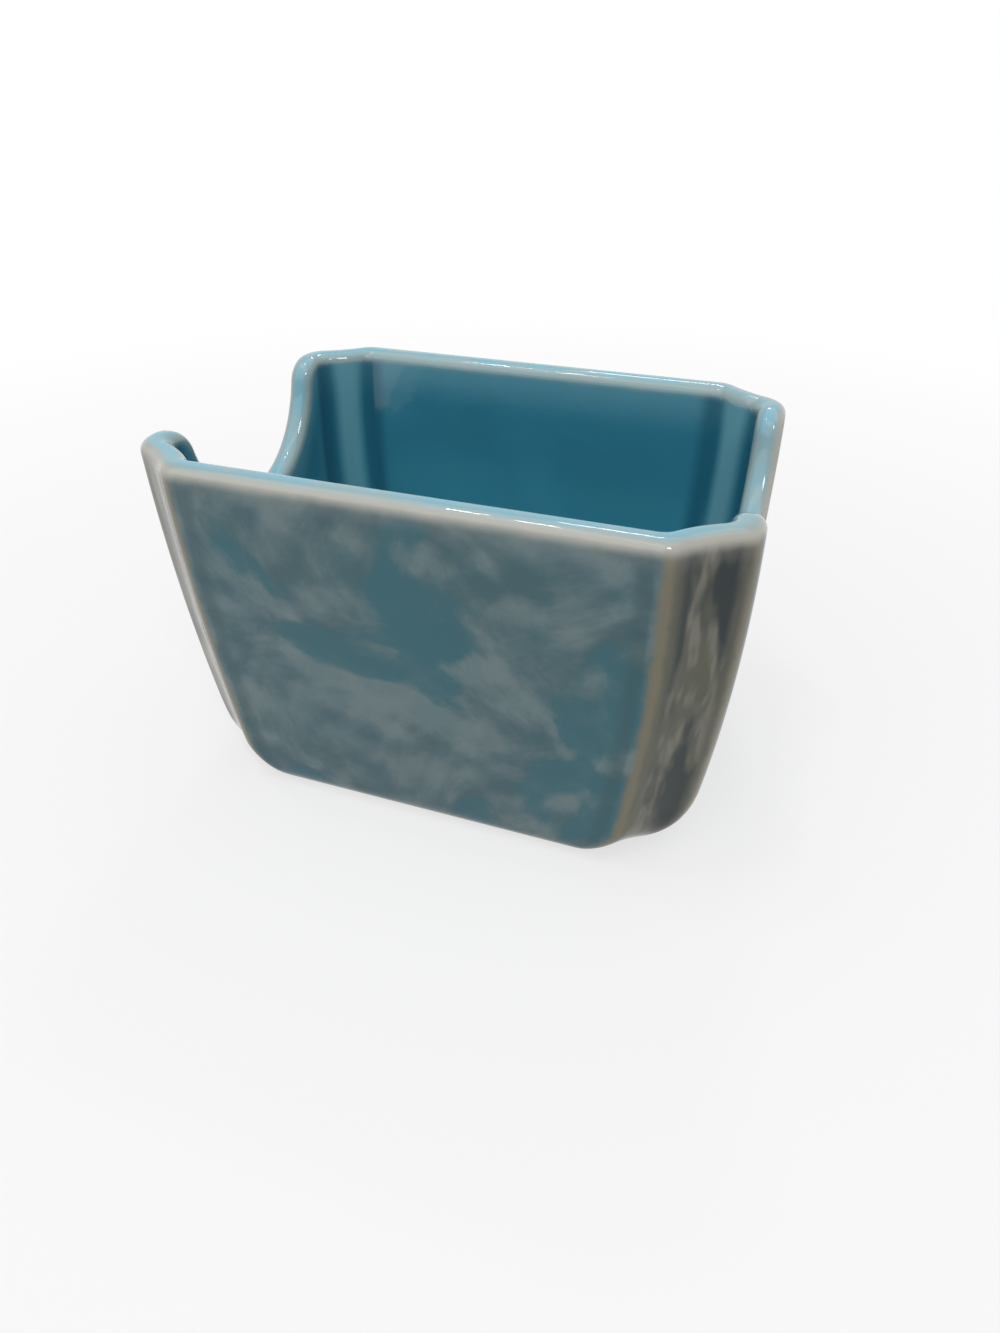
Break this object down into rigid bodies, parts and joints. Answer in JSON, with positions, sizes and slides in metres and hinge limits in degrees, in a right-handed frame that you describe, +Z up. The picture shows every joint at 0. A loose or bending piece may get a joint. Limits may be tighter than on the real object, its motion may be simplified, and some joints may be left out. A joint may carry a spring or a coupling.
{
  "type": "sugar packet holder",
  "caption": "Small open ceramic caddy with fluted corners, round-notched ends and a rolled rim, glazed turquoise, that stands sugar packets upright on a table.",
  "frame": {"origin": "centre of the foot, on the table", "axes": "+X along the length, towards one notched end, +Y across towards the back wall, +Z up"},
  "size_m": [0.092, 0.0668, 0.06],
  "materials": {
    "stoneware": "matte fired clay, bare at the foot",
    "glaze": "glossy turquoise glaze, thinner and paler on rims and ridges"
  },
  "bodies": {
    "root": {"stoneware_body": "stoneware", "glaze_coat": "glaze"}
  },
  "joints": []
}
